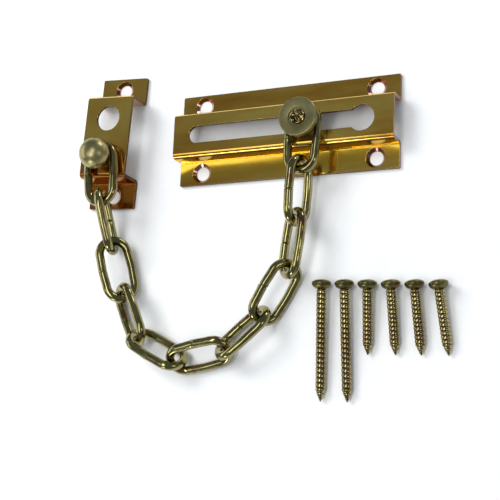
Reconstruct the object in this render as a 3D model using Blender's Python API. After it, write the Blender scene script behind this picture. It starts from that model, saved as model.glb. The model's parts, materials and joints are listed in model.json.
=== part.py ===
"""Door chain guard laid out flat: slotted track plate with its sliding stud, eleven-link chain,
anchor bracket and six wood screws. Sizes below are millimetres; the meshes are metres, +Z up.

The functions work in axes centred on the track plate: +X along its slot, +Y across it, and its back
at z = 0. The model's own origin is the middle of the back of the plate's lower flange."""

import math

import bmesh
import bpy
from mathutils import Matrix, Vector

MM = 0.001

# Pressed sheet, shared by the track plate and the anchor bracket
SHEET = 1.5
BEND_INSIDE = 0.4
PLATE_CORNER = 0.5
BEND_STEPS = 3
CORNER_STEPS = 3

# Track plate: length along X, height along Y, raised front parallel to X
TRACK_LENGTH = 100.0
TRACK_HEIGHT = 40.6
TRACK_HAT = 19.9
TRACK_FRONT = 9.8
TRACK_HOLE_INSET = 10.3
SLOT_END_INSET = 7.2
KEYHOLE_INSET = 14.0

# Anchor bracket: length close to Y, raised front in its middle
ANCHOR_LENGTH = 60.6
ANCHOR_WIDTH = 22.5
ANCHOR_HAT = 37.5
ANCHOR_FRONT = 12.9
ANCHOR_HOLE_INSET = 5.6
PARK_INSET = 10.5
RIVET_INSET = 8.6
ANCHOR_TURN = math.radians(-3.3)

# Where the slider and the anchor stand: slider axis back from the keyhole, clear space
# between the two plates, and the rivet's distance below the slot line
SLIDER_BACK = 24.4
PLATE_SPACE = 21.5
RIVET_DROP = 7.7

# Chain
LINK_COUNT = 11
LINK_WIRE = 3.8
LINK_INSIDE_LENGTH = 22.7
LINK_SIDE_PLAY = 4.5
LINK_PLAY = 0.9
LINK_WIRE_STEPS = 10
LINK_BEND_STEPS = 8
TURN_SHARES = (3, 8, 9, 36, 40, 28, 20, 21, 4, 3)
LINK_TILTS = (0, 76, -32, 42, -52, 49, -42, 55, -40, 75, 0)
ANCHOR_HANG = 0.27
TRACK_HANG = 0.55

# Slider: stud through the slot with a keeper flange behind it and a disc riveted on its end
SHANK_DIA = 6.4
SLOT_CLEARANCE = 1.2
STUD_FLANGE_DIA = 10.4
STUD_FLANGE_THICK = 1.6
KEYHOLE_CLEARANCE = 0.9
STUD_NECK_DIA = 4.4
DISC_DIA = 16.6
DISC_THICK = 2.7
DISC_HEADROOM = 2.7
PEEN_DIA = 6.6
PEEN_RISE = 0.9
PEEN_RECESS = 0.8
PEEN_SIDE_SPACE = 0.7
EDGE_BREAK = 0.3

# Anchor rivet
RIVET_SHANK_DIA = 6.2
RIVET_HEAD_DIA = 13.8
RIVET_HEAD_HEIGHT = 7.0
RIVET_RIM = 0.7
RIVET_HEADROOM = 2.8
RIVET_TAIL_DIA = 9.0
RIVET_TAIL_THICK = 1.4
RIVET_TAIL_ROUND = 0.7

# Screws: raised countersunk heads, threaded along the whole shank
SCREW_HEAD_DIA = 8.0
SCREW_DOME = 1.5
SCREW_CREST_DIA = 4.0
SCREW_ROOT_DIA = 2.9
LONG_SCREW = 48.0
SHORT_SCREW = 28.8
LONG_PITCH = 2.0
SHORT_PITCH = 1.7
SCREW_TIP = 5.5
SCREW_TIP_DIA = 0.35
SCREW_RIM = 0.3
THREAD_RUNOUT = 0.4
SCREW_PLAY = 1.8
SCREW_CHAIN_SPACE = 1.65
SCREW_TRACK_SPACE = 46.9
SCREW_ROW_SLIP = -0.5
SCREW_LEANS = (0.0, 2.0, 0.0, 3.5, 5.0, 7.5)
LONG_COUNT = 2
THREAD_STEPS = 12
COUNTERSINK_CLEARANCE = 0.6
COUNTERSINK_LAND = 0.2
RECESS_WIDTH = 1.0
RECESS_SPAN = 4.4
RECESS_DEPTH = 2.0
RECESS_TAPER = 0.5

# Clearance between pieces that touch, and how far a cutter runs past a face
GAP = 0.3
PAST = 1.0
ROUND_STEPS = 40
DOME_STEPS = 6

BRASS = (0.56, 0.38, 0.10, 1.0)
PLATED = (0.33, 0.29, 0.13, 1.0)

# Sizes that follow from the ones above
SLOT_WIDTH = SHANK_DIA + SLOT_CLEARANCE
KEYHOLE_DIA = STUD_FLANGE_DIA + KEYHOLE_CLEARANCE
KEYHOLE_X = TRACK_LENGTH / 2 - KEYHOLE_INSET
SLOT_LEFT_X = -TRACK_LENGTH / 2 + SLOT_END_INSET + SLOT_WIDTH / 2
SLIDER_X = KEYHOLE_X - SLIDER_BACK
LINK_WIDTH = 2 * LINK_WIRE + LINK_WIRE + LINK_SIDE_PLAY
LINK_PITCH = LINK_INSIDE_LENGTH - LINK_PLAY
SCREW_SPACE = SCREW_HEAD_DIA + SCREW_PLAY
DISC_UNDER = TRACK_FRONT + GAP + LINK_WIRE + DISC_HEADROOM
RIVET_UNDER = ANCHOR_FRONT + GAP + LINK_WIRE + RIVET_HEADROOM
COUNTERSINK_DIA = SCREW_HEAD_DIA + COUNTERSINK_CLEARANCE
HOLE_ROW_Y = (TRACK_HEIGHT + TRACK_HAT) / 4
MODEL_ORIGIN = Vector((0.0, -HOLE_ROW_Y, 0.0))


def clear_scene():
    for obj in list(bpy.data.objects):
        bpy.data.objects.remove(obj, do_unlink=True)


def metal(name, colour, roughness):
    """A metallic Principled material of one node."""
    material = bpy.data.materials.new(name)
    material.use_nodes = True
    shader = material.node_tree.nodes["Principled BSDF"]
    shader.inputs["Base Color"].default_value = colour
    shader.inputs["Metallic"].default_value = 1.0
    shader.inputs["Roughness"].default_value = roughness
    material.diffuse_color = colour
    return material


def add_object(name, bm, origin, material=None, smooth_under=35.0):
    """Turns a millimetre bmesh in the track plate's axes into an object in metres, whose own origin
    is at origin. Edges that bend less than smooth_under degrees are shaded smooth."""
    bmesh.ops.translate(bm, verts=bm.verts, vec=-Vector(origin))
    bmesh.ops.scale(bm, verts=bm.verts, vec=(MM, MM, MM))
    bmesh.ops.recalc_face_normals(bm, faces=bm.faces)
    for face in bm.faces:
        face.smooth = True
    for edge in bm.edges:
        edge.smooth = len(edge.link_faces) == 2 and edge.calc_face_angle() < math.radians(smooth_under)
    mesh = bpy.data.meshes.new(name)
    bm.to_mesh(mesh)
    bm.free()
    obj = bpy.data.objects.new(name, mesh)
    obj.location = (Vector(origin) - MODEL_ORIGIN) * MM
    bpy.context.scene.collection.objects.link(obj)
    if material:
        mesh.materials.append(material)
    return obj


def cut(obj, cutter_name, bm):
    """Subtracts the closed bodies of bm, given in the track plate's axes, from obj."""
    cutter = add_object(cutter_name, bm, (0, 0, 0))
    cutter.hide_render = True
    cutter.display_type = "WIRE"
    modifier = obj.modifiers.new("holes", "BOOLEAN")
    modifier.operation = "DIFFERENCE"
    modifier.solver = "EXACT"
    modifier.object = cutter


def arc(centre, radius, start, end, steps):
    """Points on an arc in the plane, both ends included, angles in radians."""
    return [
        (
            centre[0] + radius * math.cos(start + (end - start) * i / steps),
            centre[1] + radius * math.sin(start + (end - start) * i / steps),
        )
        for i in range(steps + 1)
    ]


def loft(bm, rings, close_ends=True):
    """Skins equal rings of points with quads and closes the two ends with flat faces."""
    rows = [[bm.verts.new(point) for point in ring] for ring in rings]
    count = len(rows[0])
    for low, high in zip(rows, rows[1:]):
        for i in range(count):
            j = (i + 1) % count
            bm.faces.new((low[i], low[j], high[j], high[i]))
    if close_ends:
        bm.faces.new(rows[0][::-1])
        bm.faces.new(rows[-1])
    return rows


def circle(centre, radius, z, steps):
    """A ring of points level with z."""
    angles = [2 * math.pi * i / steps for i in range(steps)]
    return [(centre[0] + radius * math.cos(a), centre[1] + radius * math.sin(a), z) for a in angles]


def dome(radius, base, rise, steps=DOME_STEPS):
    """Profile of a low dome from its rim at z = base up to its top on the axis."""
    angles = [math.pi / 2 * i / steps for i in range(steps)]
    return [(radius * math.cos(a), base + rise * math.sin(a)) for a in angles] + [(0, base + rise)]


def lathe(bm, profile, centre, steps=ROUND_STEPS):
    """Turns a profile of (radius, z) about the upright line through centre. A profile that starts
    on the axis also ends there; any other is closed round into a ring."""
    rows = []
    for radius, z in profile:
        points = circle(centre, radius, z, steps) if radius else [(centre[0], centre[1], z)]
        rows.append([bm.verts.new(point) for point in points])
    closed = profile[0][0] > 0
    pairs = list(zip(rows, rows[1:])) + ([(rows[-1], rows[0])] if closed else [])
    for low, high in pairs:
        for i in range(steps):
            j = (i + 1) % steps
            if len(low) == 1:
                bm.faces.new((low[0], high[j], high[i]))
            elif len(high) == 1:
                bm.faces.new((low[i], low[j], high[0]))
            else:
                bm.faces.new((low[i], low[j], high[j], high[i]))


def bend(corner, inward, outward, radius):
    """Arc that rounds one corner of the pressed section. inward points back along the side that
    reaches the corner, outward along the side that leaves it."""
    x, y = corner
    centre = (x + radius * (inward[0] + outward[0]), y + radius * (inward[1] + outward[1]))
    start = math.atan2(-outward[1], -outward[0])
    end = math.atan2(-inward[1], -inward[0])
    turn = (end - start + math.pi) % (2 * math.pi) - math.pi
    return arc(centre, radius, start, start + turn, BEND_STEPS)


def hat_section(hat, front, edge):
    """Outline across the pressed plate: flange, web, raised front, web and flange. The flanges
    reach edge to either side of the middle."""
    inner, outer = BEND_INSIDE, BEND_INSIDE + SHEET
    half, inside = hat / 2, hat / 2 - SHEET
    left, right, up, down = (-1, 0), (1, 0), (0, 1), (0, -1)
    points = [(-edge, 0.0)]
    points += bend((-inside, 0.0), left, up, outer)
    points += bend((-inside, front - SHEET), down, right, inner)
    points += bend((inside, front - SHEET), left, down, inner)
    points += bend((inside, 0.0), up, right, outer)
    points += [(edge, 0.0), (edge, SHEET)]
    points += bend((half, SHEET), right, up, inner)
    points += bend((half, front), down, left, outer)
    points += bend((-half, front), right, down, outer)
    points += bend((-half, SHEET), up, left, inner)
    points += [(-edge, SHEET)]
    return points


def hat_plate(bm, length, height, hat, front):
    """The pressed plate with rounded flange corners: its section lies in YZ and it runs along X."""
    stations = []
    for i in range(CORNER_STEPS + 1):
        angle = math.pi / 2 * i / CORNER_STEPS
        stations.append(
            (length / 2 - PLATE_CORNER * (1 - math.sin(angle)), PLATE_CORNER * (1 - math.cos(angle)))
        )
    both_ends = [(-x, inset) for x, inset in stations[::-1]] + stations
    rings = [
        [(x, y, z) for y, z in hat_section(hat, front, height / 2 - inset)]
        for x, inset in both_ends
    ]
    loft(bm, rings)


def prism(bm, outline, bottom, top):
    loft(bm, [[(x, y, z) for x, y in outline] for z in (bottom, top)])


def round_cutter(bm, centre, radius, bottom, top):
    lathe(bm, [(0, bottom), (radius, bottom), (radius, top), (0, top)], centre)


def countersink(bm, centre):
    """Cutter for a countersunk screw hole through a flange that lies on z = 0."""
    wide = COUNTERSINK_DIA / 2
    narrow = wide - (SHEET - COUNTERSINK_LAND)
    lathe(
        bm,
        [
            (0, -PAST),
            (narrow, -PAST),
            (narrow, COUNTERSINK_LAND),
            (wide, SHEET),
            (wide, SHEET + PAST),
            (0, SHEET + PAST),
        ],
        centre,
    )


def keyhole_outline():
    """Slot with a rounded left end that opens into the round entry hole at its right end."""
    half, radius = SLOT_WIDTH / 2, KEYHOLE_DIA / 2
    meet = math.asin(half / radius)
    ring = arc((KEYHOLE_X, 0), radius, -math.pi + meet, math.pi - meet, ROUND_STEPS)
    return ring + arc((SLOT_LEFT_X, 0), half, math.pi / 2, 3 * math.pi / 2, ROUND_STEPS // 2)


def build_track_plate():
    bm = bmesh.new()
    hat_plate(bm, TRACK_LENGTH, TRACK_HEIGHT, TRACK_HAT, TRACK_FRONT)
    plate = add_object("track_plate", bm, (0, 0, 0), metal("track_brass", BRASS, 0.16))
    holes = bmesh.new()
    prism(holes, keyhole_outline(), TRACK_FRONT - SHEET - PAST, TRACK_FRONT + PAST)
    hole_x = TRACK_LENGTH / 2 - TRACK_HOLE_INSET
    for x in (-hole_x, hole_x):
        for y in (-HOLE_ROW_Y, HOLE_ROW_Y):
            countersink(holes, (x, y))
    cut(plate, "track_holes", holes)


def build_slider():
    """The stud and the disc riveted on it, which slide together along the slot."""
    centre = (SLIDER_X, 0.0)
    origin = (SLIDER_X, 0.0, TRACK_FRONT)
    keeper_top = TRACK_FRONT - SHEET - GAP
    keeper_under = keeper_top - STUD_FLANGE_THICK
    disc_top = DISC_UNDER + DISC_THICK
    floor = disc_top - PEEN_RECESS
    flange, shank = STUD_FLANGE_DIA / 2, SHANK_DIA / 2
    neck, peen, rim = STUD_NECK_DIA / 2, PEEN_DIA / 2, DISC_DIA / 2
    bm = bmesh.new()
    stud = [
        (0, keeper_under),
        (flange - EDGE_BREAK, keeper_under),
        (flange, keeper_under + EDGE_BREAK),
        (flange, keeper_top),
        (shank, keeper_top),
        (shank, DISC_UNDER - GAP),
        (neck, DISC_UNDER - GAP),
        (neck, floor + GAP),
    ]
    lathe(bm, stud + dome(peen, floor + GAP, PEEN_RISE), centre)
    add_object("slider_stud", bm, origin, metal("stud_plating", PLATED, 0.3))
    bm = bmesh.new()
    disc = [
        (neck + GAP, DISC_UNDER),
        (rim - EDGE_BREAK, DISC_UNDER),
        (rim, DISC_UNDER + EDGE_BREAK),
        (rim, disc_top - EDGE_BREAK),
        (rim - EDGE_BREAK, disc_top),
        (peen + PEEN_SIDE_SPACE, disc_top),
        (peen + PEEN_SIDE_SPACE, floor),
        (neck + GAP, floor),
    ]
    lathe(bm, disc, centre)
    add_object("slider_disc", bm, origin, metal("disc_plating", PLATED, 0.28))


def rest_height(tilt):
    """Height of a tilted link's middle when its lower bar lies on the table."""
    return LINK_WIRE / 2 + (LINK_WIDTH - LINK_WIRE) / 2 * abs(math.sin(math.radians(tilt)))


def joint_heights():
    """Heights of the twelve joint points, from the rivet (first) to the stud (last)."""
    anchor_level = ANCHOR_FRONT + GAP + LINK_WIRE / 2
    track_level = TRACK_FRONT + GAP + LINK_WIRE / 2
    rest = [rest_height(tilt) for tilt in LINK_TILTS]
    heights = [max(rest[i - 1], rest[i]) for i in range(1, LINK_COUNT)]
    heights = [anchor_level] + heights + [track_level]
    heights[1], heights[-2] = anchor_level, track_level
    heights[2] = rest[2] + ANCHOR_HANG * (anchor_level - rest[2])
    heights[-3] = rest[-3] + TRACK_HANG * (track_level - rest[-3])
    return heights


def chain_points():
    """The twelve joint points: where link 1 pulls on the rivet, the ten link contacts, and where
    link 11 pulls on the stud. The curve's total turn is solved so that both ends meet their pins."""
    heights = joint_heights()
    reaches = [math.sqrt(LINK_PITCH**2 - (b - a) ** 2) for a, b in zip(heights, heights[1:])]
    rivet = rivet_centre()
    span = Vector((SLIDER_X - rivet.x, -rivet.y))
    grip_rivet = RIVET_SHANK_DIA / 2 + GAP / 2
    grip_stud = SHANK_DIA / 2 + GAP / 2
    shares = [sum(TURN_SHARES[:i]) / sum(TURN_SHARES) - 0.5 for i in range(LINK_COUNT)]

    def end_offset(turn):
        steps = [(reach, turn * share) for reach, share in zip(reaches, shares)]
        steps[0] = (steps[0][0] - grip_rivet, steps[0][1])
        steps[-1] = (steps[-1][0] - grip_stud, steps[-1][1])
        return Vector(
            (sum(r * math.cos(a) for r, a in steps), sum(r * math.sin(a) for r, a in steps))
        )

    low, high = 0.0, 2 * math.pi
    for _ in range(60):
        turn = (low + high) / 2
        if end_offset(turn).length > span.length:
            low = turn
        else:
            high = turn
    aim = math.atan2(span.y, span.x) - math.atan2(end_offset(turn).y, end_offset(turn).x)
    headings = [aim + turn * share for share in shares]
    start = rivet - grip_rivet * Vector((math.cos(headings[0]), math.sin(headings[0])))
    points = [Vector((start.x, start.y, heights[0]))]
    for heading, reach, height in zip(headings, reaches, heights[1:]):
        last = points[-1]
        points.append(
            Vector((last.x + reach * math.cos(heading), last.y + reach * math.sin(heading), height))
        )
    return points


def link_axes(start, end, tilt):
    """The link's middle, its long direction, and the direction across its opening."""
    along = (end - start).normalized()
    across = Vector((0, 0, 1)).cross(along).normalized()
    upright = along.cross(across)
    angle = math.radians(tilt)
    return (start + end) / 2, along, math.cos(angle) * across + math.sin(angle) * upright


def link_pivot(number, points):
    """A point on the axis about which a link turns on its neighbour nearer the stud. Links 2, 3
    and 8 rock where the two wires touch, link 1 about its own end wire, and the others about the
    neighbour's end wire."""
    if number == LINK_COUNT:
        return Vector((SLIDER_X, 0.0, points[-1].z))
    if number in (2, 3, 8):
        return points[number]
    end_wire = (LINK_INSIDE_LENGTH + LINK_WIRE) / 2
    if number == 1:
        middle, along, _ = link_axes(points[0], points[1], LINK_TILTS[0])
        return middle + end_wire * along
    middle, along, _ = link_axes(points[number], points[number + 1], LINK_TILTS[number])
    return middle - end_wire * along


def build_link(number, points):
    """One oval wire link around its two joint points."""
    tilt = LINK_TILTS[number - 1]
    middle, along, across = link_axes(points[number - 1], points[number], tilt)
    normal = along.cross(across)
    bend_radius = (LINK_WIDTH - LINK_WIRE) / 2
    straight = (LINK_INSIDE_LENGTH + LINK_WIRE) / 2 - bend_radius
    path = []
    for side in (1, -1):
        for x, y in arc((straight, 0), bend_radius, -math.pi / 2, math.pi / 2, LINK_BEND_STEPS):
            outward = Vector((x - straight, y)) / bend_radius
            path.append((side * Vector((x, y)), side * outward))
    bm = bmesh.new()
    rings = []
    for point, outward in path:
        centre = middle + point.x * along + point.y * across
        out = outward.x * along + outward.y * across
        rings.append(
            [
                centre
                + LINK_WIRE / 2 * (math.cos(a) * out + math.sin(a) * normal)
                for a in (2 * math.pi * i / LINK_WIRE_STEPS for i in range(LINK_WIRE_STEPS))
            ]
        )
    rows = loft(bm, rings, close_ends=False)
    for i in range(LINK_WIRE_STEPS):
        j = (i + 1) % LINK_WIRE_STEPS
        bm.faces.new((rows[-1][i], rows[-1][j], rows[0][j], rows[0][i]))
    plating = metal(f"link_{number:02d}_plating", PLATED, 0.24)
    add_object(f"chain_link_{number:02d}", bm, link_pivot(number, points), plating, 60.0)


def build_chain():
    """Links 1 to 11 from the rivet to the stud."""
    points = chain_points()
    for number in range(1, LINK_COUNT + 1):
        build_link(number, points)


def rivet_centre():
    """Plan position of the rivet: the anchor stands clear of the track's left end."""
    return Vector((-TRACK_LENGTH / 2 - PLATE_SPACE - ANCHOR_WIDTH / 2, -RIVET_DROP))


def anchor_matrix():
    """From the bracket's own axes, along Y with its rivet towards -Y, to the track plate's axes."""
    rivet = rivet_centre()
    to_rivet = Matrix.Translation((0, ANCHOR_HAT / 2 - RIVET_INSET, 0))
    return Matrix.Translation((rivet.x, rivet.y, 0)) @ Matrix.Rotation(ANCHOR_TURN, 4, "Z") @ to_rivet


def build_bracket(place, origin):
    """The pressed bracket with its parking hole, rivet hole and two countersunk holes."""
    bm = bmesh.new()
    hat_plate(bm, ANCHOR_WIDTH, ANCHOR_LENGTH, ANCHOR_HAT, ANCHOR_FRONT)
    bmesh.ops.transform(bm, matrix=place, verts=bm.verts)
    bracket = add_object("anchor_bracket", bm, origin, metal("anchor_brass", BRASS, 0.16))
    holes = bmesh.new()
    under, over = ANCHOR_FRONT - SHEET - PAST, ANCHOR_FRONT + PAST
    round_cutter(holes, (0, ANCHOR_HAT / 2 - PARK_INSET), KEYHOLE_DIA / 2, under, over)
    round_cutter(holes, (0, RIVET_INSET - ANCHOR_HAT / 2), RIVET_SHANK_DIA / 2 + GAP, under, over)
    for side in (-1, 1):
        countersink(holes, (0, side * (ANCHOR_LENGTH / 2 - ANCHOR_HOLE_INSET)))
    bmesh.ops.transform(holes, matrix=place, verts=holes.verts)
    cut(bracket, "anchor_holes", holes)


def build_rivet(centre, origin):
    """The domed rivet that holds link 1 on the bracket, with its headed-over tail behind."""
    shank, head, tail = RIVET_SHANK_DIA / 2, RIVET_HEAD_DIA / 2, RIVET_TAIL_DIA / 2
    tail_top = ANCHOR_FRONT - SHEET - GAP
    profile = [
        (0, tail_top - RIVET_TAIL_THICK),
        (tail - RIVET_TAIL_ROUND, tail_top - RIVET_TAIL_THICK),
        (tail, tail_top - RIVET_TAIL_THICK + RIVET_TAIL_ROUND),
        (tail, tail_top),
        (shank, tail_top),
        (shank, RIVET_UNDER),
        (head - RIVET_RIM, RIVET_UNDER),
    ]
    bm = bmesh.new()
    lathe(bm, profile + dome(head, RIVET_UNDER + RIVET_RIM, RIVET_HEAD_HEIGHT - RIVET_RIM), centre)
    add_object("anchor_rivet", bm, origin, metal("rivet_plating", PLATED, 0.26))


def build_anchor():
    rivet = rivet_centre()
    origin = (rivet.x, rivet.y, ANCHOR_FRONT)
    build_bracket(anchor_matrix(), origin)
    build_rivet(rivet, origin)


def thread(bm, top, length, pitch):
    """Threaded shank from z = top down to a pointed tip. The ridge is one helix: each turn's last
    column joins the first column one turn further along."""
    turns = int((length - SCREW_TIP / 2) / pitch)
    end = top - length
    slimmest = SCREW_TIP_DIA / SCREW_CREST_DIA
    rows = []
    for row in range(2 * turns + 1):
        radius = (SCREW_CREST_DIA if row % 2 else SCREW_ROOT_DIA) / 2
        ring = []
        for i in range(THREAD_STEPS):
            angle = 2 * math.pi * i / THREAD_STEPS
            z = top - THREAD_RUNOUT - pitch * (row / 2 + i / THREAD_STEPS)
            r = radius * min(1.0, max(slimmest, (z - end) / SCREW_TIP))
            ring.append(bm.verts.new((r * math.cos(angle), r * math.sin(angle), z)))
        rows.append(ring)
    last = len(rows) - 1

    def vertex(row, i):
        return rows[row + 2][0] if i == THREAD_STEPS else rows[row][i]

    for row in range(last):
        for i in range(THREAD_STEPS):
            if i == THREAD_STEPS - 1 and row + 3 > last:
                continue
            bm.faces.new(
                (vertex(row, i), vertex(row + 1, i), vertex(row + 1, i + 1), vertex(row, i + 1))
            )
    return rows, end


def close_thread(bm, rows, end, neck):
    """Joins the helix to the round neck ring above it and to the tip below it."""
    first = rows[0]
    for i in range(THREAD_STEPS - 1):
        bm.faces.new((neck[i], first[i], first[i + 1], neck[i + 1]))
    bm.faces.new((neck[-1], first[-1], rows[2][0], neck[0]))
    bm.faces.new((neck[0], rows[2][0], rows[1][0]))
    bm.faces.new((neck[0], rows[1][0], first[0]))
    tip = bm.verts.new((0, 0, end))
    final = rows[-1]
    for i in range(THREAD_STEPS - 1):
        bm.faces.new((final[i], tip, final[i + 1]))
    step = (final[-1], rows[-2][-1], rows[-3][-1], final[0])
    for high, low in zip(step, step[1:]):
        bm.faces.new((high, tip, low))


def screw_mesh(length, pitch):
    """A screw standing on its axis: the countersunk rim at z = 0, the dome above it, the tip below."""
    head, root = SCREW_HEAD_DIA / 2, SCREW_ROOT_DIA / 2
    cone = head - root
    bm = bmesh.new()
    rows, end = thread(bm, -cone, length - cone, pitch)
    profile = [(root, -cone), (head, -SCREW_RIM)] + dome(head, 0, SCREW_DOME, 4)[:-1]
    rings = loft(bm, [circle((0, 0), r, z, THREAD_STEPS) for r, z in profile], close_ends=False)
    bm.faces.new(rings[-1])
    close_thread(bm, rows, end, rings[0])
    return bm


def cross_recess():
    """Tapered cutter for the cross recess, open above the dome."""
    bm = bmesh.new()
    rings = []
    half_width = RECESS_WIDTH / 2
    levels = [(SCREW_DOME - RECESS_DEPTH, RECESS_SPAN * RECESS_TAPER), (SCREW_DOME + PAST, RECESS_SPAN)]
    for z, span in levels:
        corners = [(span / 2, -half_width), (span / 2, half_width), (half_width, half_width)]
        turns = [Matrix.Rotation(quarter * math.pi / 2, 2) for quarter in range(4)]
        rings.append([(*(turn @ Vector(corner)), z) for turn in turns for corner in corners])
    loft(bm, rings)
    return bm


def screw_places():
    """Name, length, thread pitch and placing matrix of each screw. They lie in a row on the table,
    each on its head's rim and its last full thread."""
    chain_edge = max(point.x for point in chain_points()[:-3]) + LINK_WIDTH / 2
    first_x = chain_edge + SCREW_CHAIN_SPACE + SCREW_HEAD_DIA / 2
    places = []
    for i, lean in enumerate(SCREW_LEANS):
        is_long = i < LONG_COUNT
        length, pitch = (LONG_SCREW, LONG_PITCH) if is_long else (SHORT_SCREW, SHORT_PITCH)
        name = f"screw_long_{i + 1}" if is_long else f"screw_short_{i - LONG_COUNT + 1}"
        rim, crest = SCREW_HEAD_DIA / 2, SCREW_CREST_DIA / 2
        dip = math.asin((rim - crest) / (length - SCREW_TIP))
        x = first_x + i * SCREW_SPACE
        y = -TRACK_HEIGHT / 2 - SCREW_TRACK_SPACE + i * SCREW_ROW_SLIP
        lying = Matrix.Rotation(math.radians(lean), 4, "Z") @ Matrix.Rotation(dip - math.pi / 2, 4, "X")
        places.append((name, length, pitch, Matrix.Translation((x, y, rim * math.cos(dip))) @ lying))
    return places


def build_screws():
    for name, length, pitch, place in screw_places():
        bm = screw_mesh(length, pitch)
        bmesh.ops.transform(bm, matrix=place, verts=bm.verts)
        plating = metal(name + "_plating", PLATED, 0.3)
        screw = add_object(name, bm, place.translation, plating, 50.0)
        recess = cross_recess()
        bmesh.ops.transform(recess, matrix=place, verts=recess.verts)
        cut(screw, name + "_recess", recess)


clear_scene()
build_track_plate()
build_slider()
build_chain()
build_anchor()
build_screws()
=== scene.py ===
"""Looks of the door chain guard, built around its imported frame. Metres, +Z up, floor at z = 0."""

import json
import math

import bmesh
import bpy
import numpy as np
from mathutils import Matrix, Vector, noise

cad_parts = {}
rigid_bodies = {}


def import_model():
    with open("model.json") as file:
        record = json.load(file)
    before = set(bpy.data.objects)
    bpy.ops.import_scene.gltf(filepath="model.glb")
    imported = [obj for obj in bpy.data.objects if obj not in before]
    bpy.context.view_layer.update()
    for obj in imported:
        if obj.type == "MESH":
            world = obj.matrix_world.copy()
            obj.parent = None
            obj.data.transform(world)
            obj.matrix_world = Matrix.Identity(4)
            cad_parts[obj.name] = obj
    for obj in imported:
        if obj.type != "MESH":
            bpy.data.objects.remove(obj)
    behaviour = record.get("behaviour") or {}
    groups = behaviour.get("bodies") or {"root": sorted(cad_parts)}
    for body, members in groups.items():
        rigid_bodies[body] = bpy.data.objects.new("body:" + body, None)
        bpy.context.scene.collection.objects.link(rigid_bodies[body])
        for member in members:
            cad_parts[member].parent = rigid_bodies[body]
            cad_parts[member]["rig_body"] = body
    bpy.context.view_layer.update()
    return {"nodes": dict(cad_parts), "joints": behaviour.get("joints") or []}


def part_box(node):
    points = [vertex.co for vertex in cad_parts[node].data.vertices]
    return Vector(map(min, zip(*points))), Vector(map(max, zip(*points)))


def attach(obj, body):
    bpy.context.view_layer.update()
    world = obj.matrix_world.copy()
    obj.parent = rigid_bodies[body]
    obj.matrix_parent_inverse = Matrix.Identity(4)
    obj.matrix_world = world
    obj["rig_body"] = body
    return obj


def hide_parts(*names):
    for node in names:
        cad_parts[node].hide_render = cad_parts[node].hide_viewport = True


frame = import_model()
JOINT_AT = {joint["name"]: Vector(joint["pos_m"]) for joint in frame["joints"]}

# Camera: where it stands and its right and up directions
CAMERA_AT = Vector((0.21925, -0.16860, 0.51218))
CAMERA_RIGHT = Vector((0.91197, 0.03980, -0.40832))
CAMERA_UP = Vector((0.05882, 0.97232, 0.22614))
CAMERA_LENS = 98.96
CAMERA_SENSOR = 36.0
CAMERA_CLIP_START = 0.01

# Chain wire and the butt seam in the middle of one bar of each link. SEAM_RINGS are the distances of
# the rings next to the seam as shares of its gap, and SEAM_SIDE is where the seamed bar lies
WIRE_DIA = 0.0038
WIRE_SIDES = 28
BEND_STATIONS = 26
BAR_STATIONS = 14
BAR_BOW = 0.00030
SEAM_GAP = 0.00016
SEAM_DEPTH = 0.00034
SEAM_SLIP = 0.00010
SEAM_REACH = 0.0011
SEAM_SWELL = 0.00005
SEAM_RINGS = (0.25, 0.5, 1, 2)
SEAM_SIDE = Vector((-1.0, 0.35, 0.4))

# Turned pieces. The struck end of the stud (PEEN) is a low dome broken by spokes and two sizes of
# lumps, bare bright metal where it stands over the dome by PEEN_BRIGHT_ABOVE and painted shade in the
# hollows below that
TURN_STEPS = 96
ARC_STEPS = 8
SHANK_DIA = 0.0064
STUD_FLANGE_THICK = 0.0016
STUD_FLANGE_BREAK = 0.0004
NECK_CLEARANCE = 0.0003
STUD_NECK_DIA = 0.0044
DISC_ROUND = 0.00045
PEEN_DIA = 0.0066
PEEN_POCKET_DIA = 0.0080
PEEN_POCKET_DEPTH = 0.0008
PEEN_RISE = 0.0009
PEEN_ROUGHNESS = 0.00060
PEEN_BRIGHT_ABOVE = -0.00008
PEEN_FLATNESS = 0.8
PEEN_SPOKES = 6
PEEN_TWIST = 3.0
PEEN_RINGS = 22
COARSE_LUMPS = 1500.0
FINE_LUMPS = 2900.0
FINE_LUMPS_LEVEL = 0.003
FINE_LUMP_SHARE = 0.6
RIVET_SHANK_DIA = 0.0062
RIVET_HEAD_HEIGHT = 0.0070
RIVET_RIM = 0.0007
RIVET_TAIL_DIA = 0.0090
RIVET_TAIL_THICK = 0.0014
RIVET_TAIL_ROUND = 0.0007
DOME_STEPS = 26
POLE_RADIUS = 0.00005

# Screws. The head's underside is a cone that swells outwards (HEAD_BULGE over 1), the crests are wide
# (CREST_FLATNESS under 1), and RUN_OUT is in pitches. CONE_STEPS and RIM_STEPS place the head's rings
HEAD_DIA = 0.0080
HEAD_DOME = 0.0015
HEAD_RIM = 0.0003
HEAD_BULGE = 1.8
GROOVE_SHARE = 0.30
CREST_FLATNESS = 0.36
CREST_DIA = 0.0042
ROOT_DIA = 0.0034
TIP_LENGTH = 0.0046
LONG_PITCH = 0.0020
SHORT_PITCH = 0.0017
ROWS_PER_PITCH = 14
SCREW_SIDES = 32
RECESS_SPAN = 0.0044
RECESS_WIDTH = 0.0010
RECESS_DEPTH = 0.0020
RECESS_TAPER = 0.5
RECESS_WALL = 0.00012
RUN_OUT = 0.6
POINT_SHARE = 0.06
POINT_POWER = 0.85
CONE_STEPS = (0.06, 0.2, 0.4, 0.6, 0.8, 0.93)
CONE_SHARE = 0.97
RIM_STEPS = (0.6, 0.2)
CROWN_RINGS = 30
CROWN_RADIUS = 0.995
CROWN_CENTRE = 0.985

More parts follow.
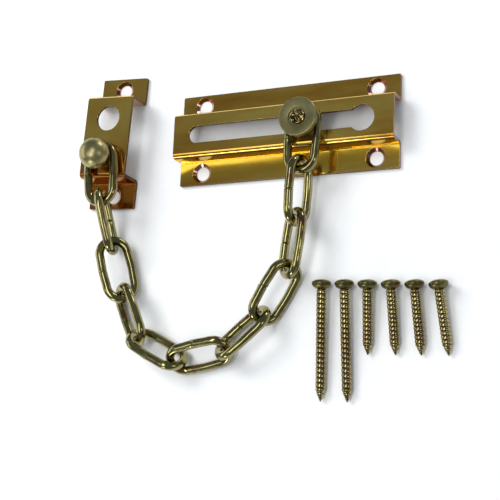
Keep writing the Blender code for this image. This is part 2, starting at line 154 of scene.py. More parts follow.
# Pressed plates. GRAIN and STREAK draw a pattern out along the axes whose share is small. Faces are
# told apart by how far their normal turns up: FLAT_ABOVE is flat, UPRIGHT_BELOW upright and
# BACK_BELOW facing down
EDGE_ROUND = 0.00022
SHEET = 0.0015
EDGE_RISE = SHEET * 1.1
WELD = 1e-6
ON_TABLE = 0.0001
FLAT_WITHIN = math.radians(1)
SMOOTH_UNDER = math.radians(35)
SHARP_UNDER = math.radians(50)
LAND_MIDDLE = 0.00004
COUNTERSINK_DIA = 0.0086
TRACK_HAT = 0.0199
TRACK_HOLE_INSET = 0.0103
TRACK_HOLE_ROW = 0.015125
ANCHOR_LENGTH = 0.0606
ANCHOR_HOLE_INSET = 0.0056
FLAT_ABOVE = 0.9
UPRIGHT_BELOW = 0.3
BACK_BELOW = -0.5
GRAIN = (0.06, 1, 1)
ANCHOR_GRAIN = (1, 0.06, 1)
STREAK = (0.22, 1, 1)
ANCHOR_TURN = math.radians(-3.3)

# The anchor is painted with a brown reflection of the chain and rivet up to BROWN_FROM from its lower end,
# and is plain brass from BROWN_TO on
BROWN_FROM = 0.016
BROWN_TO = 0.030
BROWN_SHARE = 0.85

# The track's lower flange is dished over this width next to the web, and painted there with a gold
# reflection. The start is the stretch over which the painted gold begins at the web, and the fade where it
# ends, in dish widths
FLANGE_DISH = 0.0085
DISH_ANGLE = math.radians(15)
REFLECTION_START = (0.0004, -0.0002)
REFLECTION_FADE = (1.15, 0.4)

# Floor
FLOOR_HALF = 1.6
FLOOR_DROP = 0.0002
FLOOR_TOOTH = 400.0
FLOOR_DARK = (0.90, 0.905, 0.915, 1)
FLOOR_LIGHT = (0.93, 0.935, 0.94, 1)

# Light: the room's own level, and the softboxes with direction, width, height, radiance and kind. A
# card lights and is mirrored in the metal, and a wash only lights
SOFTBOX_DISTANCE = 1.3
WORLD_COLOUR = (0.80, 0.91, 1.0, 1)
WORLD_LEVEL = 0.23
SOFTBOXES = (
    ("wash", (-0.55, 0.40, 0.73), 0.60, 0.60, 7.6, "wash"),
    ("fill", (0.0, 0.0, 1.0), 2.4, 2.4, 0.40, "wash"),
    ("overhead", (-0.04, -0.14, 0.98), 0.24, 1.2, 5.5, "card"),
    ("bounce", (-0.44, -0.26, 0.87), 0.46, 0.34, 1.6, "card"),
    ("right", (0.79, -0.17, 0.59), 0.22, 0.40, 3.8, "card"),
    ("left", (-0.93, 0.10, 0.35), 1.2, 0.24, 3.2, "card"),
    ("low_front", (-0.40, -0.88, 0.24), 0.34, 0.20, 11.0, "card"),
    ("low_back", (0.45, 0.87, 0.17), 0.34, 0.20, 11.0, "card"),
)

# Metals: scales of the spots, smudges and polishing lines, per metre
SPOT_SCALE = 240.0
SPOT_SOFTNESS = 0.12
SMUDGE_SCALE = 130.0
LINE_SCALE = 900.0
LINE_HEIGHT = 0.00002
DRIFT_RANGE = (0.35, 0.68)
GLOSS_RANGE = (0.7, 1.3)
COAT_ROUGHNESS = 0.06
COAT_IOR = 1.7
EVEN = (1, 1, 1)

# Polished faces of the plates, with the painted brown reflection on the anchor's lower end and the painted
# gold reflection on the track's lower flange
BRASS_LIGHT = (0.98, 0.67, 0.150, 1)
BRASS_DARK = (0.66, 0.32, 0.042, 1)
BRASS_STAIN = (0.40, 0.16, 0.025, 1)
PAINTED_BROWN_REFLECTION = (0.56, 0.18, 0.022, 1)
PAINTED_GOLD_REFLECTION = (0.82, 0.50, 0.055, 1)

# Countersinks and bare ends, sheared edges, and the backs of the plates, painted near-black as shade inside
# the channel
CUT_LIGHT = (0.50, 0.27, 0.20, 1)
CUT_DARK = (0.20, 0.070, 0.045, 1)
EDGE_LIGHT = (0.13, 0.060, 0.026, 1)
EDGE_DARK = (0.060, 0.028, 0.012, 1)
BACK_SHADE_LIGHT = (0.085, 0.075, 0.065, 1)
BACK_SHADE_DARK = (0.045, 0.040, 0.036, 1)

# Chain wire, knobs, screw threads and screw heads, all with the same stain; the heads' colours are the
# plating darkened as painted shade
OLIVE_LIGHT = (0.36, 0.31, 0.115, 1)
OLIVE_DARK = (0.19, 0.172, 0.052, 1)
OLIVE_STAIN = (0.19, 0.085, 0.038, 1)
SATIN_LIGHT = (0.42, 0.365, 0.17, 1)
SATIN_DARK = (0.32, 0.28, 0.12, 1)
THREAD_LIGHT = (0.44, 0.36, 0.13, 1)
THREAD_DARK = (0.27, 0.19, 0.072, 1)
HEAD_SHADE_LIGHT = (0.20, 0.18, 0.066, 1)
HEAD_SHADE_DARK = (0.11, 0.10, 0.036, 1)

# Struck end of the stud, and the near-black painted shade of its hollows and of the threads' grooves
STRUCK_LIGHT = (0.75, 0.62, 0.27, 1)
STRUCK_DARK = (0.50, 0.38, 0.13, 1)
GROOVE_SHADE_LIGHT = (0.060, 0.048, 0.018, 1)
GROOVE_SHADE_DARK = (0.030, 0.022, 0.010, 1)


# ---------------------------------------------------------------- materials


class Nodes:
    """Adds nodes to one material and links them."""

    def __init__(self, name):
        self.material = bpy.data.materials.new(name)
        self.material.use_nodes = True
        self.tree = self.material.node_tree
        self.shader = self.tree.nodes["Principled BSDF"]

    def add(self, kind, links=None, **settings):
        node = self.tree.nodes.new(kind)
        for key, value in settings.items():
            if key in node.inputs:
                node.inputs[key].default_value = value
            else:
                setattr(node, key, value)
        for socket, source in (links or {}).items():
            self.tree.links.new(source, node.inputs[socket])
        return node

    def ramp(self, source, low, high, dark, light):
        """Colours from dark to light as source goes from low to high."""
        node = self.add("ShaderNodeValToRGB", {"Fac": source})
        node.color_ramp.elements[0].position = low
        node.color_ramp.elements[1].position = high
        node.color_ramp.elements[0].color = dark
        node.color_ramp.elements[1].color = light
        return node.outputs["Color"]

    def range(self, source, low, high, to_low, to_high):
        """A value that goes from to_low to to_high as source goes from low to high."""
        node = self.add("ShaderNodeMapRange", {"Value": source})
        ends = {"From Min": low, "From Max": high, "To Min": to_low, "To Max": to_high}
        for socket, value in ends.items():
            node.inputs[socket].default_value = value
        return node.outputs["Result"]

    def noise(self, place, scale, detail, stretch=EVEN):
        """Noise of that scale at place, longer along the axes whose stretch is small."""
        mapped = self.add("ShaderNodeMapping", {"Vector": place}).outputs["Vector"]
        mapped.node.inputs["Scale"].default_value = stretch
        node = self.add("ShaderNodeTexNoise", {"Vector": mapped}, Scale=scale, Detail=detail)
        return node.outputs["Fac"]

    def mix(self, share, first, second):
        """The second colour laid over the first where share is 1."""
        node = self.add("ShaderNodeMix", data_type="RGBA")
        self.tree.links.new(share, node.inputs["Factor"])
        for socket, colour in ((node.inputs[6], first), (node.inputs[7], second)):
            if isinstance(colour, tuple):
                socket.default_value = colour
            else:
                self.tree.links.new(colour, socket)
        return node.outputs[2]


def metal(
    name,
    light,
    dark,
    stain,
    roughness,
    grain_depth,
    stain_from,
    grain=EVEN,
    drift_scale=60.0,
    drift_stretch=EVEN,
    coat=0.0,
):
    """A metal whose colour drifts from dark to light, with polishing lines, smudges and stains.
    roughness is its smoothest and roughest, and grain stretches the polishing lines, which are
    grain_depth strong. stain_from is the noise level above which stains begin, so a low one gives
    many. coat is the weight of a clear coat."""
    nodes = Nodes(name)
    place = nodes.add("ShaderNodeTexCoord").outputs["Object"]
    drift = nodes.noise(place, drift_scale, 4.0, drift_stretch)
    colour = nodes.ramp(drift, *DRIFT_RANGE, dark, light)
    spots = nodes.noise(place, SPOT_SCALE, 6.0)
    stained = nodes.range(spots, stain_from, stain_from + SPOT_SOFTNESS, 0.0, 1.0)
    colour = nodes.mix(stained, colour, stain)
    lines = nodes.noise(place, LINE_SCALE, 5.0, grain)
    smudge = nodes.noise(place, SMUDGE_SCALE, 5.0)
    blend = nodes.add("ShaderNodeMath", {0: lines, 1: smudge}, operation="ADD").outputs["Value"]
    gloss = nodes.range(blend, *GLOSS_RANGE, *roughness)
    bump = nodes.add("ShaderNodeBump", {"Height": lines}, Strength=grain_depth, Distance=LINE_HEIGHT)
    nodes.tree.links.new(colour, nodes.shader.inputs["Base Color"])
    nodes.tree.links.new(gloss, nodes.shader.inputs["Roughness"])
    nodes.tree.links.new(bump.outputs["Normal"], nodes.shader.inputs["Normal"])
    nodes.shader.inputs["Metallic"].default_value = 1.0
    nodes.shader.inputs["Coat Weight"].default_value = coat
    nodes.shader.inputs["Coat Roughness"].default_value = COAT_ROUGHNESS
    nodes.shader.inputs["Coat IOR"].default_value = COAT_IOR
    nodes.colour, nodes.bump, nodes.place = colour, bump, place
    return nodes


def track_brass():
    """Brass of the track plate: its lower flange is dished towards the web, and painted there with a bright
    gold reflection.
    """
    nodes = metal(
        "polished_brass_track",
        BRASS_LIGHT,
        BRASS_DARK,
        BRASS_STAIN,
        (0.12, 0.20),
        grain_depth=0.10,
        stain_from=0.70,
        grain=GRAIN,
        drift_scale=70.0,
        drift_stretch=STREAK,
    )
    across = nodes.add("ShaderNodeSeparateXYZ", {"Vector": nodes.place}).outputs["Y"]
    low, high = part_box("track_plate")
    web = (low.y + high.y - TRACK_HAT) / 2
    rise = nodes.range(across, web - FLANGE_DISH, web, 0.0, 1.0)
    dish = nodes.add("ShaderNodeMath", {0: rise, 1: rise}, operation="MULTIPLY").outputs["Value"]
    height = FLANGE_DISH / 2 * math.tan(DISH_ANGLE)
    curve = nodes.add("ShaderNodeBump", {"Height": dish}, Strength=1.0, Distance=height)
    nodes.tree.links.new(curve.outputs["Normal"], nodes.bump.inputs["Normal"])
    # painted gold reflection on the lower web and on the flange next to the web
    below = nodes.range(across, *(web + reach for reach in REFLECTION_START), 0.0, 1.0)
    fade = nodes.range(across, *(web - share * FLANGE_DISH for share in REFLECTION_FADE), 0.0, 1.0)
    share = nodes.add("ShaderNodeMath", {0: below, 1: fade}, operation="MULTIPLY").outputs["Value"]
    nodes.tree.links.new(nodes.mix(share, nodes.colour, PAINTED_GOLD_REFLECTION), nodes.shader.inputs["Base Color"])
    return nodes.material


def anchor_brass():
    """Brass of the anchor bracket, painted with a brown reflection of the chain and rivet towards its lower
    end.
    """
    nodes = metal(
        "polished_brass_anchor",
        BRASS_LIGHT,
        BRASS_DARK,
        BRASS_STAIN,
        (0.12, 0.20),
        grain_depth=0.10,
        stain_from=0.70,
        grain=ANCHOR_GRAIN,
        drift_scale=24.0,
    )
    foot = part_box("anchor_bracket")[0].y
    across = nodes.add("ShaderNodeSeparateXYZ", {"Vector": nodes.place}).outputs["Y"]
    # painted brown reflection of the chain and rivet towards the lower end
    share = nodes.range(across, foot + BROWN_TO, foot + BROWN_FROM, 0.0, BROWN_SHARE)
    nodes.tree.links.new(nodes.mix(share, nodes.colour, PAINTED_BROWN_REFLECTION), nodes.shader.inputs["Base Color"])
    return nodes.material


def cut_brass():
    """Pinkish brass laid bare by the drill and the shear."""
    return metal(
        "bare_cut_brass", CUT_LIGHT, CUT_DARK, BRASS_STAIN, (0.14, 0.22), grain_depth=0.3, stain_from=0.66
    ).material


def edge_brass():
    """Dark brass of the sheared edges."""
    return metal(
        "sheared_brass_edge",
        EDGE_LIGHT,
        EDGE_DARK,
        BRASS_STAIN,
        (0.28, 0.42),
        grain_depth=0.4,
        stain_from=0.66,
    ).material


def back_shade_brass():
    """Painted shade: near-black brass on the backs of the plates, inside the channel."""
    return metal(
        "painted_shade_back", BACK_SHADE_LIGHT, BACK_SHADE_DARK, BRASS_STAIN, (0.35, 0.50), grain_depth=0.3, stain_from=0.66
    ).material


def chain_plating():
    """Glossy olive plating of the chain's wire, with many stains."""
    return metal(
        "olive_brass_wire",
        OLIVE_LIGHT,
        OLIVE_DARK,
        OLIVE_STAIN,
        (0.09, 0.19),
        grain_depth=0.14,
        stain_from=0.56,
        drift_scale=90.0,
        coat=0.4,
    ).material


def knob_plating():
    """Satin olive plating of the stud, its disc and the rivet."""
    return metal(
        "satin_olive_brass",
        SATIN_LIGHT,
        SATIN_DARK,
        OLIVE_STAIN,
        (0.28, 0.42),
        grain_depth=0.15,
        stain_from=0.70,
    ).material


def struck_metal():
    """Bright bare metal of the struck end of the stud."""
    return metal(
        "bare_struck_brass",
        STRUCK_LIGHT,
        STRUCK_DARK,
        OLIVE_STAIN,
        (0.10, 0.20),
        grain_depth=0.2,
        stain_from=0.70,
    ).material


def groove_shade_metal():
    """Painted shade: near-black metal in the hollows of the stud's struck end and in the threads' grooves.
    """
    return metal(
        "painted_groove_shade", GROOVE_SHADE_LIGHT, GROOVE_SHADE_DARK, OLIVE_STAIN, (0.22, 0.34), grain_depth=0.2, stain_from=0.60
    ).material


def thread_plating():
    """Glossy olive plating of the threads' crests."""
    return metal(
        "olive_brass_screw",
        THREAD_LIGHT,
        THREAD_DARK,
        OLIVE_STAIN,
        (0.10, 0.18),
        grain_depth=0.10,
        stain_from=0.62,
        drift_scale=45.0,
        coat=0.4,
    ).material


def shaded_head_plating():
    """Satin plating of the screw heads, darkened as painted shade, with many stains."""
    return metal(
        "screw_head_painted_shade",
        HEAD_SHADE_LIGHT,
        HEAD_SHADE_DARK,
        OLIVE_STAIN,
        (0.28, 0.40),
        grain_depth=0.15,
        stain_from=0.56,
        drift_scale=90.0,
    ).material


def floor_paint():
    """Matt white board with a faint tooth."""
    nodes = Nodes("white_board")
    place = nodes.add("ShaderNodeTexCoord").outputs["Object"]
    tooth = nodes.noise(place, FLOOR_TOOTH, 6.0)
    colour = nodes.ramp(tooth, 0.2, 0.8, FLOOR_DARK, FLOOR_LIGHT)
    bump = nodes.add("ShaderNodeBump", {"Height": tooth}, Strength=0.05, Distance=0.0001)
    nodes.tree.links.new(colour, nodes.shader.inputs["Base Color"])
    nodes.tree.links.new(bump.outputs["Normal"], nodes.shader.inputs["Normal"])
    nodes.shader.inputs["Roughness"].default_value = 0.9
    nodes.shader.inputs["Specular IOR Level"].default_value = 0.1
    return nodes.material


# ---------------------------------------------------------------- mesh helpers


def add_piece(name, bm, materials, node, smooth_under=SMOOTH_UNDER):
    """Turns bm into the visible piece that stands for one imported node."""
    bmesh.ops.recalc_face_normals(bm, faces=bm.faces)
    mesh = bpy.data.meshes.new(name)
    bm.to_mesh(mesh)
    bm.free()
    mesh.shade_smooth()
    mesh.set_sharp_from_angle(angle=smooth_under)
    for material in materials:
        mesh.materials.append(material)
    piece = bpy.data.objects.new(name, mesh)
    bpy.context.scene.collection.objects.link(piece)
    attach(piece, frame["nodes"][node]["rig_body"])
    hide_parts(node)
    return piece


def skin(bm, rings, closed=False):
    """Quads between equal rings of points. closed joins the last ring to the first."""
    rows = [[bm.verts.new(point) for point in ring] for ring in rings]
    pairs = list(zip(rows, rows[1:])) + ([(rows[-1], rows[0])] if closed else [])
    count = len(rows[0])
    for low, high in pairs:
        for i in range(count):
            j = (i + 1) % count
            bm.faces.new((low[i], low[j], high[j], high[i]))
    return rows


def circle(radius, z, steps, centre=(0, 0)):
    """Points of a level circle."""
    angles = [2 * math.pi * i / steps for i in range(steps)]
    return [(centre[0] + radius * math.cos(a), centre[1] + radius * math.sin(a), z) for a in angles]


def arc(centre_r, centre_z, radius, start, end, steps=ARC_STEPS):
    """(radius, z) points on an arc of a turned profile, angles in degrees."""
    angles = [math.radians(start + (end - start) * i / steps) for i in range(steps + 1)]
    return [(centre_r + radius * math.cos(a), centre_z + radius * math.sin(a)) for a in angles]


def turned(bm, profile, centre, closed=False):
    """Turns a (radius, z) profile about the upright line through centre. An open profile is closed
    by a point on the axis at each end, at the height of its own end."""
    rows = skin(bm, [circle(r, z, TURN_STEPS, centre) for r, z in profile], closed)
    if not closed:
        for row, (_, z) in ((rows[0], profile[0]), (rows[-1], profile[-1])):
            middle = bm.verts.new((centre[0], centre[1], z))
            for i in range(TURN_STEPS):
                bm.faces.new((row[i], row[(i + 1) % TURN_STEPS], middle))


def node_points(node):
    """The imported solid's vertices, one a row."""
    return np.array([v.co for v in frame["nodes"][node].data.vertices], float)


# ---------------------------------------------------------------- chain


def bow(x, half_bar):
    """How far a bar bulges outwards at x along it."""
    return BAR_BOW * (0.5 + 0.5 * math.cos(math.pi * x / half_bar))


def round_station(middle, bend, angle):
    """Point and outward direction on the round end about (middle, 0)."""
    out = Vector((math.cos(angle), math.sin(angle)))
    return Vector((middle + bend * out.x, bend * out.y)), out


def oval_station(s, half_bar, bend):
    """Point and outward direction at arc length s round an oval that starts in the middle of one
    bar. half_bar is half the straight's length and bend the radius of its round ends."""
    corner = half_bar + math.pi * bend
    if s <= half_bar:
        return Vector((s, bend + bow(s, half_bar))), Vector((0, 1))
    if s <= corner:
        a = math.pi / 2 - (s - half_bar) / bend
        return round_station(half_bar, bend, a)
    if s <= corner + 2 * half_bar:
        x = half_bar - (s - corner)
        return Vector((x, -bend - bow(x, half_bar))), Vector((0, -1))
    a = -math.pi / 2 - (s - corner - 2 * half_bar) / bend
    if s <= 2 * corner + half_bar:
        return round_station(-half_bar, bend, a)
    x = s - 2 * corner - 2 * half_bar
    return Vector((x, bend + bow(x, half_bar))), Vector((0, 1))


def wire_stations(half_bar, bend):
    """Arc lengths of the rings of one link, close together at the seam."""
    total = 4 * half_bar + 2 * math.pi * bend
    near = [SEAM_GAP * share for share in SEAM_RINGS] + [SEAM_REACH / 2, SEAM_REACH]
    bar = [SEAM_REACH + (half_bar - SEAM_REACH) * i / BAR_STATIONS for i in range(1, BAR_STATIONS)]
    first = near + bar
    half_bend = math.pi * bend
    round_end = [half_bar + half_bend * i / BEND_STATIONS for i in range(BEND_STATIONS + 1)]
    far = [half_bar + half_bend + 2 * half_bar * i / BAR_STATIONS for i in range(1, BAR_STATIONS)]
    other = [3 * half_bar + half_bend + half_bend * i / BEND_STATIONS for i in range(BEND_STATIONS + 1)]
    return [0.0] + first + round_end + far + other + [total - s for s in reversed(first)], total


def link_mesh(length, width):
    """One wire link lying in XY about its middle, long along X, its seam in the +Y bar."""
    bend = (width - WIRE_DIA) / 2
    half_bar = (length - width) / 2
    stations, total = wire_stations(half_bar, bend)
    rings = []
    for s in stations:
        point, out = oval_station(s, half_bar, bend)
        from_seam = min(s, total - s)
        near = max(0.0, 1 - from_seam / SEAM_REACH)
        groove = SEAM_DEPTH * math.exp(-((from_seam / SEAM_GAP) ** 2))
        radius = WIRE_DIA / 2 + SEAM_SWELL * math.sin(math.pi * near) - groove
        slip = SEAM_SLIP * near * (1 if s < total / 2 else -1)
        ring = []
        for i in range(WIRE_SIDES):
            a = 2 * math.pi * i / WIRE_SIDES
            side = radius * math.cos(a) * out
            ring.append((point.x + side.x, point.y + side.y + slip, radius * math.sin(a)))
        rings.append(ring)
    bm = bmesh.new()
    skin(bm, rings, closed=True)
    return bm


def link_place(node):
    """Matrix of a link about its own middle, and its length and width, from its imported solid."""
    points = node_points(node)
    middle = points.mean(axis=0)
    _, _, axes = np.linalg.svd(points - middle, full_matrices=False)
    along, across = Vector(axes[0]), Vector(axes[1])
    if across.dot(SEAM_SIDE) < 0:
        across = -across
    spans = [np.abs((points - middle) @ np.array(axis)).max() * 2 for axis in (along, across)]
    turn = Matrix((along, across, along.cross(across))).transposed().to_4x4()
    return Matrix.Translation(Vector(middle)) @ turn, spans[0], spans[1]


def make_chain(material):
    """Every link, its seamed bar turned to SEAM_SIDE."""
    for node in sorted(name for name in frame["nodes"] if name.startswith("chain_link_")):
        place, length, width = link_place(node)
        bm = link_mesh(length, width)
        bmesh.ops.transform(bm, matrix=place, verts=bm.verts)
        add_piece("wire_" + node, bm, [material], node)


# ---------------------------------------------------------------- slider and rivet


def peen_height(x, y, radius):
    """Height over its rim of the struck end of the stud: a low dome broken up by the punch."""
    r = min(1.0, math.hypot(x, y) / radius)
    dome = PEEN_RISE * math.sqrt(1 - PEEN_FLATNESS * r * r)
    spokes = 0.5 + 0.5 * math.cos(PEEN_SPOKES * math.atan2(y, x) + PEEN_TWIST * r)
    coarse = noise.noise(Vector((x, y, 0.0)) * COARSE_LUMPS)
    fine = noise.noise(Vector((x, y, FINE_LUMPS_LEVEL)) * FINE_LUMPS)
    lumps = coarse + FINE_LUMP_SHARE * fine
    fade = 1 - r**6
    return dome + fade * PEEN_ROUGHNESS * (lumps + 0.5 * spokes - 0.5)


def make_stud(material, bright, dark):
    """The stud from its keeper flange to its struck end, which is bare bright metal where it stands proud
    and near-black in its hollows as painted shade."""
    low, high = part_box("slider_stud")
    centre = (low.x + high.x) / 2, (low.y + high.y) / 2
    flange = (high.x - low.x) / 2
    shank, neck, peen = SHANK_DIA / 2, STUD_NECK_DIA / 2, PEEN_DIA / 2
    disc_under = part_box("slider_disc")[0].z
    rim = high.z - PEEN_RISE
    corner, shoulder = STUD_FLANGE_BREAK, disc_under - NECK_CLEARANCE
    profile = [(flange - corner, low.z), (flange, low.z + corner), (flange, low.z + STUD_FLANGE_THICK)]
    profile += [(shank, low.z + STUD_FLANGE_THICK), (shank, shoulder), (neck, shoulder), (neck, rim)]
    bm = bmesh.new()
    rows = skin(bm, [circle(r, z, TURN_STEPS, centre) for r, z in profile])
    foot = bm.verts.new((*centre, low.z))
    last = rows[-1]
    for k in range(1, PEEN_RINGS + 1):
        r = neck + (peen - neck) * k / 2 if k <= 2 else peen * (1 - (k - 2) / (PEEN_RINGS - 1))
        row = []
        for i in range(TURN_STEPS):
            a = 2 * math.pi * i / TURN_STEPS
            x, y = r * math.cos(a), r * math.sin(a)
            z = rim + (0 if k <= 2 else peen_height(x, y, peen))
            row.append(bm.verts.new((centre[0] + x, centre[1] + y, z)))
        for i in range(TURN_STEPS):
            j = (i + 1) % TURN_STEPS
            bm.faces.new((last[i], last[j], row[j], row[i]))
        last = row
    top = bm.verts.new((*centre, rim + peen_height(0, 0, peen)))
    for i in range(TURN_STEPS):
        j = (i + 1) % TURN_STEPS
        bm.faces.new((last[i], last[j], top))
        bm.faces.new((rows[0][i], rows[0][j], foot))
    for face in bm.faces:
        middle = face.calc_center_median() - Vector((*centre, rim))
        reach = math.hypot(middle.x, middle.y) / peen
        if middle.z > 0 and reach < 1:
            swell = PEEN_RISE * math.sqrt(1 - PEEN_FLATNESS * reach * reach)
            # raised faces get the bare metal, the hollows the near-black painted shade
            face.material_index = 1 if middle.z > swell + PEEN_BRIGHT_ABOVE else 2
    metals = [material, bright, dark]
    add_piece("stud_with_struck_end", bm, metals, "slider_stud", SHARP_UNDER)


def make_disc(material):
    """The round disc, with the pocket that the stud's struck end fills."""
    low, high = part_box("slider_disc")
    centre = (low.x + high.x) / 2, (low.y + high.y) / 2
    rim, bore, pocket = (high.x - low.x) / 2, STUD_NECK_DIA / 2 + NECK_CLEARANCE, PEEN_POCKET_DIA / 2
    floor = high.z - PEEN_POCKET_DEPTH
    corner = DISC_ROUND
    profile = [(bore, low.z)]
    profile += arc(rim - corner, low.z + corner, corner, -90, 0)
    profile += arc(rim - corner, high.z - corner, corner, 0, 90)
    profile += arc(pocket + corner / 2, high.z - corner / 2, corner / 2, 90, 180, 4)
    profile += [(pocket, floor), (bore, floor)]
    bm = bmesh.new()
    turned(bm, profile, centre, closed=True)
    add_piece("disc_with_round_edge", bm, [material], "slider_disc")


def make_rivet(material):
    """The domed rivet, with its headed-over tail behind the bracket."""
    low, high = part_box("anchor_rivet")
    centre = (low.x + high.x) / 2, (low.y + high.y) / 2
    head, shank, tail = (high.x - low.x) / 2, RIVET_SHANK_DIA / 2, RIVET_TAIL_DIA / 2
    under = high.z - RIVET_HEAD_HEIGHT
    crown = RIVET_HEAD_HEIGHT - RIVET_RIM
    tail_top = low.z + RIVET_TAIL_THICK
    corner = RIVET_TAIL_ROUND
    profile = arc(tail - corner, low.z + corner, corner, -90, 0)
    profile += [(tail, tail_top), (shank, tail_top), (shank, under)]
    profile += arc(head - RIVET_RIM / 2, under + RIVET_RIM / 2, RIVET_RIM / 2, -90, 0, 5)
    profile += [
        (head * math.cos(a), under + RIVET_RIM + crown * math.sin(a))
        for a in (math.pi / 2 * i / DOME_STEPS for i in range(DOME_STEPS))
    ]
    profile += [(POLE_RADIUS, high.z)]
    bm = bmesh.new()
    turned(bm, profile, centre)
    add_piece("domed_rivet", bm, [material], "anchor_rivet")


# ---------------------------------------------------------------- screws


def thread_radius(z, angle, start, end, pitch):
    """Radius of the shank at height z and angle: wide round crests and narrow roots, a run-out
    under the head and a point at the end."""
    phase = (z / pitch + angle / (2 * math.pi)) % 1.0
    ridge = abs(math.sin(math.pi * phase)) ** CREST_FLATNESS
    run_out = min(1.0, (start - z) / (RUN_OUT * pitch))
    crest = ROOT_DIA / 2 + (CREST_DIA - ROOT_DIA) / 2 * ridge * max(0.0, run_out)
    point = min(1.0, max(0.0, (z - end) / TIP_LENGTH))
    return crest * (POINT_SHARE + (1 - POINT_SHARE) * point**POINT_POWER)


def recess_depth(x, y):
    """How deep the cross recess is under the dome at a point of the head."""
    best = 0.0
    for u, v in ((abs(x), abs(y)), (abs(y), abs(x))):
        reach = min(1.0, max(0.0, (RECESS_SPAN / 2 - u) / (RECESS_SPAN / 2 * (1 - RECESS_TAPER))))
        wall = min(1.0, max(0.0, (RECESS_WIDTH / 2 - v) / RECESS_WALL))
        best = max(best, reach * wall)
    return RECESS_DEPTH * best


def screw_mesh(length, pitch):
    """A screw on its own axis: rim of the head at z = 0, dome above, point below. Its faces are
    numbered 0 on the thread's crests, 1 in its grooves, which take painted shade, and 2 on the head."""
    head, root = HEAD_DIA / 2, ROOT_DIA / 2
    neck = -(head - root)
    rings = []
    rows = int((length + neck) / pitch * ROWS_PER_PITCH)
    for row in range(rows + 1):
        z = -length + (length + neck) * row / rows
        ring = []
        for i in range(SCREW_SIDES):
            a = 2 * math.pi * i / SCREW_SIDES
            r = thread_radius(z, a, neck, -length, pitch)
            ring.append((r * math.cos(a), r * math.sin(a), z))
        rings.append(ring)
    for t in CONE_STEPS:
        out = (1 - (1 - t) ** HEAD_BULGE) ** (1 / HEAD_BULGE)
        rings.append(circle(root + (head - root) * out, neck + (head - root) * CONE_SHARE * t, SCREW_SIDES))
    for share in RIM_STEPS:
        rings.append(circle(head, -HEAD_RIM * share, SCREW_SIDES))
    bm = bmesh.new()
    skirt = skin(bm, rings)
    tip = bm.verts.new((0, 0, -length))
    for i in range(SCREW_SIDES):
        bm.faces.new((skirt[0][i], skirt[0][(i + 1) % SCREW_SIDES], tip))
    last = skirt[-1]
    for k in range(CROWN_RINGS):
        r = head * CROWN_RADIUS * (1 - CROWN_CENTRE * k / (CROWN_RINGS - 1))
        row = []
        for x, y, _ in circle(r, 0, SCREW_SIDES):
            z = HEAD_DOME * math.sqrt(max(0.0, 1 - (r / head) ** 2)) - recess_depth(x, y)
            row.append(bm.verts.new((x, y, z)))
        for i in range(SCREW_SIDES):
            j = (i + 1) % SCREW_SIDES
            bm.faces.new((last[i], last[j], row[j], row[i]))
        last = row
    bm.faces.new(last)
    for face in bm.faces:
        middle = face.calc_center_median()
        turn = math.atan2(middle.y, middle.x) / (2 * math.pi)
        ridge = abs(math.sin(math.pi * (middle.z / pitch + turn)))
        if middle.z > neck:
            face.material_index = 2
        # faces in the grooves get the near-black painted shade
        elif ridge < GROOVE_SHARE:
            face.material_index = 1
    return bm


def make_screws(metals):
    """The loose screws. metals are those of the thread's crests, the painted shade of its grooves, and the
    head's plating, darkened as painted shade.
    """
    for node in sorted(name for name in frame["nodes"] if name.startswith("screw_")):
        points = node_points(node)
        rim = JOINT_AT[node + "_lift"]
        tip = Vector(points[np.argmax(np.linalg.norm(points - np.array(rim), axis=1))])
        pitch = LONG_PITCH if "long" in node else SHORT_PITCH
        bm = screw_mesh((tip - rim).length, pitch)
        place = Matrix.Translation(rim) @ (rim - tip).to_track_quat("Z", "Y").to_matrix().to_4x4()
        bmesh.ops.transform(bm, matrix=place, verts=bm.verts)
        add_piece("threaded_" + node, bm, metals, node, SHARP_UNDER)


# ---------------------------------------------------------------- pressed plates


def make_plate(node, materials, holes, sheared):
    """The pressed plate with its edges softly rounded. materials are those of the faces, the
    countersinks, the sheared edges and the backs, which are painted near-black as shade. holes are the
    centres of the countersinks. The plate's bent profile was sheared at the end that faces the direction
    sheared, which is bare like the countersinks, and at the opposite end, which is dark like the other
    edges."""
    bm = bmesh.new()
    bm.from_mesh(frame["nodes"][node].data)
    bmesh.ops.remove_doubles(bm, verts=bm.verts, dist=WELD)
    bmesh.ops.dissolve_limit(bm, angle_limit=FLAT_WITHIN, verts=bm.verts, edges=bm.edges)
    for face in bm.faces:
        middle = face.calc_center_median()
        near = min((middle.xy - hole).length for hole in holes)
        facing_up, facing_end = face.normal.z, face.normal.dot(sheared)
        heights = [vert.co.z for vert in face.verts]
        rise = max(heights) - min(heights)
        in_hole = near < COUNTERSINK_DIA / 2 and LAND_MIDDLE < middle.z < SHEET
        if in_hole and facing_up < FLAT_ABOVE:
            face.material_index = 1
        elif abs(facing_up) < UPRIGHT_BELOW and (rise < EDGE_RISE or abs(facing_end) > FLAT_ABOVE):
            face.material_index = 1 if facing_end > FLAT_ABOVE else 2
        # downward faces inside the channel get the near-black painted shade
        if middle.z > SHEET and facing_up < BACK_BELOW:
            face.material_index = 3
    piece = add_piece("pressed_" + node, bm, materials, node)
    bevel = piece.modifiers.new("edge_round", "BEVEL")
    bevel.width = EDGE_ROUND
    bevel.segments = 2
    bevel.limit_method = "ANGLE"
    bevel.angle_limit = SMOOTH_UNDER
    bevel.harden_normals = True


def track_holes():
    """Centres of the four countersinks of the track plate."""
    low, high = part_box("track_plate")
    middle = (low.y + high.y) / 2
    ends = (low.x + TRACK_HOLE_INSET, high.x - TRACK_HOLE_INSET)
    return [Vector((x, middle + side * TRACK_HOLE_ROW)) for x in ends for side in (-1, 1)]


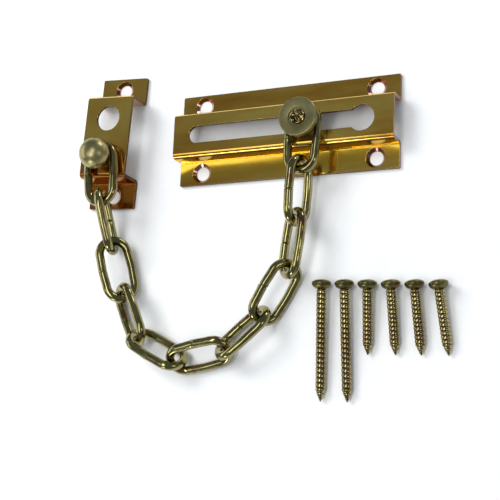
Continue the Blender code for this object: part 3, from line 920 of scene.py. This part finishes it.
def anchor_holes():
    """Centres of the two countersinks of the anchor bracket, from the middle of its ends."""
    points = node_points("anchor_bracket")
    ends = points[points[:, 2] < ON_TABLE]
    middle = (ends.min(axis=0) + ends.max(axis=0)) / 2
    along = Vector((-math.sin(ANCHOR_TURN), math.cos(ANCHOR_TURN)))
    reach = ANCHOR_LENGTH / 2 - ANCHOR_HOLE_INSET
    return [Vector(middle[:2]) + side * reach * along for side in (-1, 1)]


# ---------------------------------------------------------------- floor, light and camera


def make_floor():
    """A plain square floor just under the set."""
    bm = bmesh.new()
    corners = ((-1, -1), (1, -1), (1, 1), (-1, 1))
    bm.faces.new([bm.verts.new((x * FLOOR_HALF, y * FLOOR_HALF, -FLOOR_DROP)) for x, y in corners])
    mesh = bpy.data.meshes.new("floor")
    bm.to_mesh(mesh)
    bm.free()
    mesh.materials.append(floor_paint())
    floor = bpy.data.objects.new("floor", mesh)
    bpy.context.scene.collection.objects.link(floor)


def softbox(name, direction, width, height, radiance, kind):
    """A large area light that faces the object from that direction."""
    light = bpy.data.lights.new(name, "AREA")
    light.shape = "RECTANGLE"
    light.size, light.size_y = width, height
    light.energy = radiance * math.pi * width * height
    lamp = bpy.data.objects.new(name, light)
    towards = Vector(direction).normalized()
    lamp.location = towards * SOFTBOX_DISTANCE
    lamp.rotation_euler = towards.to_track_quat("Z", "Y").to_euler()
    lamp.visible_camera = False
    lamp.visible_glossy = kind == "card"
    bpy.context.scene.collection.objects.link(lamp)


def make_lights():
    """The dim bluish room and its softboxes."""
    world = bpy.data.worlds.new("studio")
    world.use_nodes = True
    background = world.node_tree.nodes["Background"]
    background.inputs["Color"].default_value = WORLD_COLOUR
    background.inputs["Strength"].default_value = WORLD_LEVEL
    bpy.context.scene.world = world
    for lamp in SOFTBOXES:
        softbox(*lamp)


def make_camera():
    """The camera of the picture."""
    camera = bpy.data.cameras.new("camera")
    camera.lens = CAMERA_LENS
    camera.sensor_width = CAMERA_SENSOR
    camera.clip_start = CAMERA_CLIP_START
    holder = bpy.data.objects.new("camera", camera)
    turn = Matrix((CAMERA_RIGHT, CAMERA_UP, CAMERA_RIGHT.cross(CAMERA_UP))).transposed().to_4x4()
    holder.matrix_world = Matrix.Translation(CAMERA_AT) @ turn
    bpy.context.scene.collection.objects.link(holder)
    bpy.context.scene.camera = holder
    bpy.context.scene.view_settings.view_transform = "Standard"


make_camera()
make_lights()
make_floor()
cut, edge, back, groove, knob = cut_brass(), edge_brass(), back_shade_brass(), groove_shade_metal(), knob_plating()
across_anchor = Vector((math.cos(ANCHOR_TURN), math.sin(ANCHOR_TURN), 0))
track_metals = [track_brass(), cut, edge, back]
anchor_metals = [anchor_brass(), cut, edge, back]
make_plate("track_plate", track_metals, track_holes(), Vector((1, 0, 0)))
make_plate("anchor_bracket", anchor_metals, anchor_holes(), -across_anchor)
make_chain(chain_plating())
make_stud(knob, struck_metal(), groove)
make_disc(knob)
make_rivet(knob)
make_screws([thread_plating(), groove, shaded_head_plating()])
